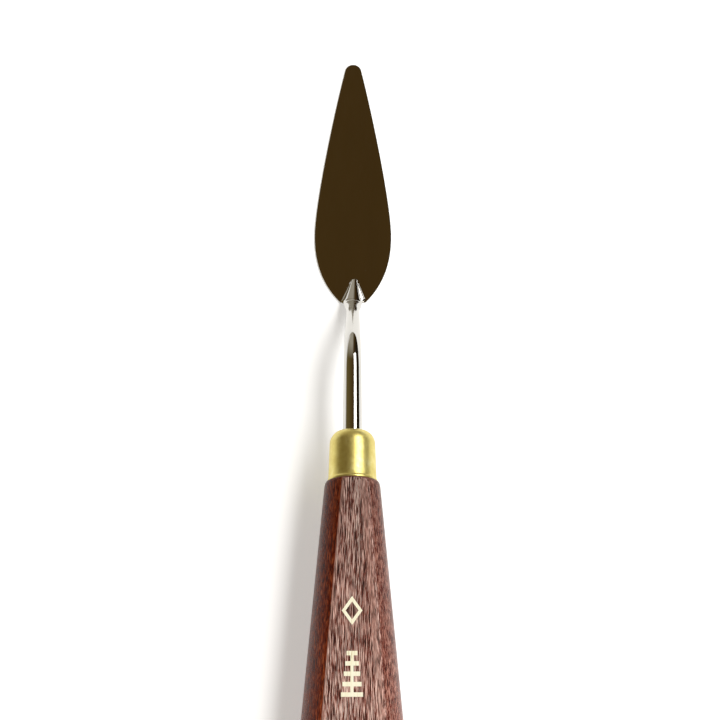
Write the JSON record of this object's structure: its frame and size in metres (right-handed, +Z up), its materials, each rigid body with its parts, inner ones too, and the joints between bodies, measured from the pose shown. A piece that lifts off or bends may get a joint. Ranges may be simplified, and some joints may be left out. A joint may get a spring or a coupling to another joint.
{
  "type": "palette knife",
  "caption": "Palette knife: slim pointed steel blade on a cranked neck, brass ferrule and turned wooden handle with planed flats, for mixing and laying paint.",
  "frame": {"origin": "on the surface the knife rests on, under the middle of its length and width", "axes": "+Y along the knife towards the blade tip, +Z up out of the blade's upper face, +X across the blade"},
  "size_m": [0.0248, 0.2306, 0.0205],
  "materials": {
    "blade_steel": "mirror polished spring steel",
    "neck_steel": "bright polished forged steel",
    "ferrule_brass": "satin drawn brass",
    "handle_wood": "dark red-brown stain, open grain",
    "adhesive": "cured resin, hidden",
    "foil": "cream stamping foil"
  },
  "bodies": {
    "root": {"blade": "blade_steel", "neck": "neck_steel", "ferrule": "ferrule_brass", "handle": "handle_wood", "tang_adhesive": "adhesive", "foil_lozenge": "foil", "foil_bar_scale": "foil"}
  },
  "joints": []
}
